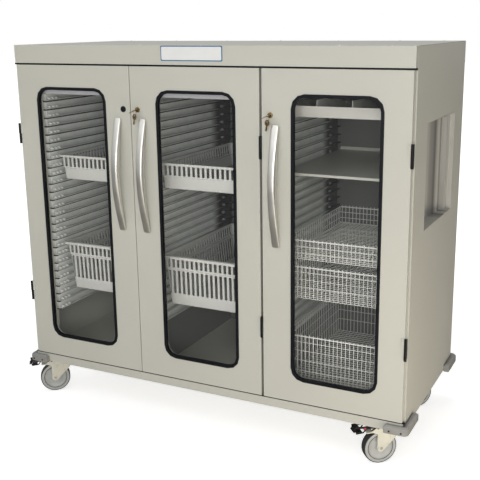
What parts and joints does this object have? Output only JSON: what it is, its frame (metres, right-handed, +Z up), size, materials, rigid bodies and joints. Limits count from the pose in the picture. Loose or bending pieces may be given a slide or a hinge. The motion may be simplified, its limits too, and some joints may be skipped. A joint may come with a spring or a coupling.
{
  "type": "mobile storage cabinet",
  "caption": "Wide sheet-metal storage cabinet on swivel casters, with glazed doors over columns of slide-out trays, baskets, a shelf and a divided rack.",
  "frame": {"origin": "on the floor, under the middle of the whole outline", "axes": "+X along the width towards the right of someone facing the doors, +Y from the doors to the back, +Z up"},
  "size_m": [1.6848, 0.777, 1.475],
  "materials": {
    "beige_paint": "satin powder coat",
    "inner_paint": "satin powder coat",
    "grey_guide_plastic": "moulded",
    "pale_tray_plastic": "moulded",
    "rack_paint": "satin powder coat",
    "coated_wire": "bright wire",
    "black_rubber": "matt",
    "clear_pane": "clear",
    "satin_nickel": "satin",
    "key_brass": "worn",
    "black_plastic": "moulded",
    "hinge_steel": "black",
    "grey_bumper_plastic": "moulded",
    "cream_fork_paint": "satin",
    "grey_wheel": "moulded"
  },
  "bodies": {
    "cabinet": {"base_frame": "beige_paint", "side_panel_left": "beige_paint", "side_panel_right": "beige_paint", "back_panel": "inner_paint", "top_cap": "beige_paint", "divider_left": "inner_paint", "divider_right": "inner_paint", "header_panel": "inner_paint", "push_handle_left": "beige_paint", "push_handle_right": "beige_paint", "guide_1_left": "grey_guide_plastic", "guide_1_right": "grey_guide_plastic", "guide_2_left": "grey_guide_plastic", "guide_2_right": "grey_guide_plastic", "guide_3_left": "grey_guide_plastic", "guide_3_right": "grey_guide_plastic", "bumper_front_left": "grey_bumper_plastic", "bumper_front_right": "grey_bumper_plastic", "bumper_back_left": "grey_bumper_plastic", "bumper_back_right": "grey_bumper_plastic", "shelf": "beige_paint", "hinge_1_lower": "hinge_steel", "hinge_1_upper": "hinge_steel", "hinge_2_lower": "hinge_steel", "hinge_2_upper": "hinge_steel", "hinge_3_lower": "hinge_steel", "hinge_3_upper": "hinge_steel"},
    "door_1": {"door_1": "beige_paint", "gasket_1": "black_rubber", "window_1": "clear_pane", "handle_1": "satin_nickel", "hole_plug": "black_plastic"},
    "door_2": {"door_2": "beige_paint", "gasket_2": "black_rubber", "window_2": "clear_pane", "handle_2": "satin_nickel"},
    "door_3": {"door_3": "beige_paint", "gasket_3": "black_rubber", "window_3": "clear_pane", "handle_3": "satin_nickel"},
    "lock_2": {"lock_2": "key_brass"},
    "lock_3": {"lock_3": "key_brass"},
    "tray_1_shallow": {"tray_1_shallow": "pale_tray_plastic"},
    "tray_1_deep": {"tray_1_deep": "pale_tray_plastic"},
    "tray_2_shallow": {"tray_2_shallow": "pale_tray_plastic"},
    "tray_2_deep": {"tray_2_deep": "pale_tray_plastic"},
    "basket_shallow": {"basket_shallow": "coated_wire"},
    "basket_medium": {"basket_medium": "coated_wire"},
    "basket_deep": {"basket_deep": "coated_wire"},
    "top_rack": {"top_rack": "rack_paint"},
    "caster_fork_front_left": {"caster_fork_front_left": "cream_fork_paint"},
    "caster_wheel_front_left": {"caster_wheel_front_left": "grey_wheel"},
    "brake_pedal_front_left": {"brake_pedal_front_left": "black_plastic"},
    "caster_fork_front_right": {"caster_fork_front_right": "cream_fork_paint"},
    "caster_wheel_front_right": {"caster_wheel_front_right": "grey_wheel"},
    "brake_pedal_front_right": {"brake_pedal_front_right": "black_plastic"},
    "caster_fork_back_left": {"caster_fork_back_left": "cream_fork_paint"},
    "caster_wheel_back_left": {"caster_wheel_back_left": "grey_wheel"},
    "caster_fork_back_right": {"caster_fork_back_right": "cream_fork_paint"},
    "caster_wheel_back_right": {"caster_wheel_back_right": "grey_wheel"}
  },
  "joints": [
    {"name": "door_1_swing", "type": "hinge", "parent": "cabinet", "child": "door_1", "pos_m": [-0.77935, -0.34, 0.8], "axis": [0, 0, -1], "range_deg": [0, 180]},
    {"name": "door_2_swing", "type": "hinge", "parent": "cabinet", "child": "door_2", "pos_m": [0.28482, -0.34, 0.8], "axis": [0, 0, 1], "range_deg": [0, 90]},
    {"name": "door_3_swing", "type": "hinge", "parent": "cabinet", "child": "door_3", "pos_m": [0.82015, -0.34, 0.8], "axis": [0, 0, 1], "range_deg": [0, 180]},
    {"name": "lock_2_turn", "type": "hinge", "parent": "door_2", "child": "lock_2", "pos_m": [-0.21556, -0.3385, 1.243], "axis": [0, 1, 0], "range_deg": [0, 90]},
    {"name": "lock_3_turn", "type": "hinge", "parent": "door_3", "child": "lock_3", "pos_m": [0.32187, -0.3385, 1.243], "axis": [0, 1, 0], "range_deg": [0, 90]},
    {"name": "tray_1_shallow_slide", "type": "slide", "parent": "cabinet", "child": "tray_1_shallow", "axis": [0, -1, 0], "range_m": [0, 0.45]},
    {"name": "tray_1_deep_slide", "type": "slide", "parent": "cabinet", "child": "tray_1_deep", "axis": [0, -1, 0], "range_m": [0, 0.45]},
    {"name": "tray_2_shallow_slide", "type": "slide", "parent": "cabinet", "child": "tray_2_shallow", "axis": [0, -1, 0], "range_m": [0, 0.45]},
    {"name": "tray_2_deep_slide", "type": "slide", "parent": "cabinet", "child": "tray_2_deep", "axis": [0, -1, 0], "range_m": [0, 0.45]},
    {"name": "basket_shallow_slide", "type": "slide", "parent": "cabinet", "child": "basket_shallow", "axis": [0, -1, 0], "range_m": [0, 0.45]},
    {"name": "basket_medium_slide", "type": "slide", "parent": "cabinet", "child": "basket_medium", "axis": [0, -1, 0], "range_m": [0, 0.45]},
    {"name": "basket_deep_slide", "type": "slide", "parent": "cabinet", "child": "basket_deep", "axis": [0, -1, 0], "range_m": [0, 0.45]},
    {"name": "top_rack_slide", "type": "slide", "parent": "cabinet", "child": "top_rack", "axis": [0, -1, 0], "range_m": [0, 0.45]},
    {"name": "swivel_front_left", "type": "hinge", "parent": "cabinet", "child": "caster_fork_front_left", "pos_m": [-0.7121, -0.236, 0.155], "axis": [0, 0, 1], "continuous": true},
    {"name": "roll_front_left", "type": "hinge", "parent": "caster_fork_front_left", "child": "caster_wheel_front_left", "pos_m": [-0.7504, -0.26814, 0.0625], "axis": [-0.6428, 0.766, 0], "continuous": true},
    {"name": "brake_front_left", "type": "hinge", "parent": "caster_fork_front_left", "child": "brake_pedal_front_left", "pos_m": [-0.75959, -0.27585, 0.141], "axis": [0.6428, -0.766, 0], "range_deg": [0, 12]},
    {"name": "swivel_front_right", "type": "hinge", "parent": "cabinet", "child": "caster_fork_front_right", "pos_m": [0.7529, -0.236, 0.155], "axis": [0, 0, 1], "continuous": true},
    {"name": "roll_front_right", "type": "hinge", "parent": "caster_fork_front_right", "child": "caster_wheel_front_right", "pos_m": [0.7146, -0.26814, 0.0625], "axis": [-0.6428, 0.766, 0], "continuous": true},
    {"name": "brake_front_right", "type": "hinge", "parent": "caster_fork_front_right", "child": "brake_pedal_front_right", "pos_m": [0.70541, -0.27585, 0.141], "axis": [0.6428, -0.766, 0], "range_deg": [0, 12]},
    {"name": "swivel_back_left", "type": "hinge", "parent": "cabinet", "child": "caster_fork_back_left", "pos_m": [-0.7121, 0.264, 0.155], "axis": [0, 0, 1], "continuous": true},
    {"name": "roll_back_left", "type": "hinge", "parent": "caster_fork_back_left", "child": "caster_wheel_back_left", "pos_m": [-0.7504, 0.23186, 0.0625], "axis": [-0.6428, 0.766, 0], "continuous": true},
    {"name": "swivel_back_right", "type": "hinge", "parent": "cabinet", "child": "caster_fork_back_right", "pos_m": [0.7529, 0.264, 0.155], "axis": [0, 0, 1], "continuous": true},
    {"name": "roll_back_right", "type": "hinge", "parent": "caster_fork_back_right", "child": "caster_wheel_back_right", "pos_m": [0.7146, 0.23186, 0.0625], "axis": [-0.6428, 0.766, 0], "continuous": true}
  ],
  "couplings": [
    {"joint": "tray_1_shallow_slide", "follows": "door_1_swing", "m_per_rad": 0.14},
    {"joint": "tray_1_deep_slide", "follows": "door_1_swing", "m_per_rad": 0.14},
    {"joint": "tray_2_shallow_slide", "follows": "door_2_swing", "m_per_rad": 0.12},
    {"joint": "tray_2_deep_slide", "follows": "door_2_swing", "m_per_rad": 0.12},
    {"joint": "basket_shallow_slide", "follows": "door_3_swing", "m_per_rad": 0.14},
    {"joint": "basket_medium_slide", "follows": "door_3_swing", "m_per_rad": 0.14},
    {"joint": "basket_deep_slide", "follows": "door_3_swing", "m_per_rad": 0.14},
    {"joint": "top_rack_slide", "follows": "door_3_swing", "m_per_rad": 0.14}
  ]
}
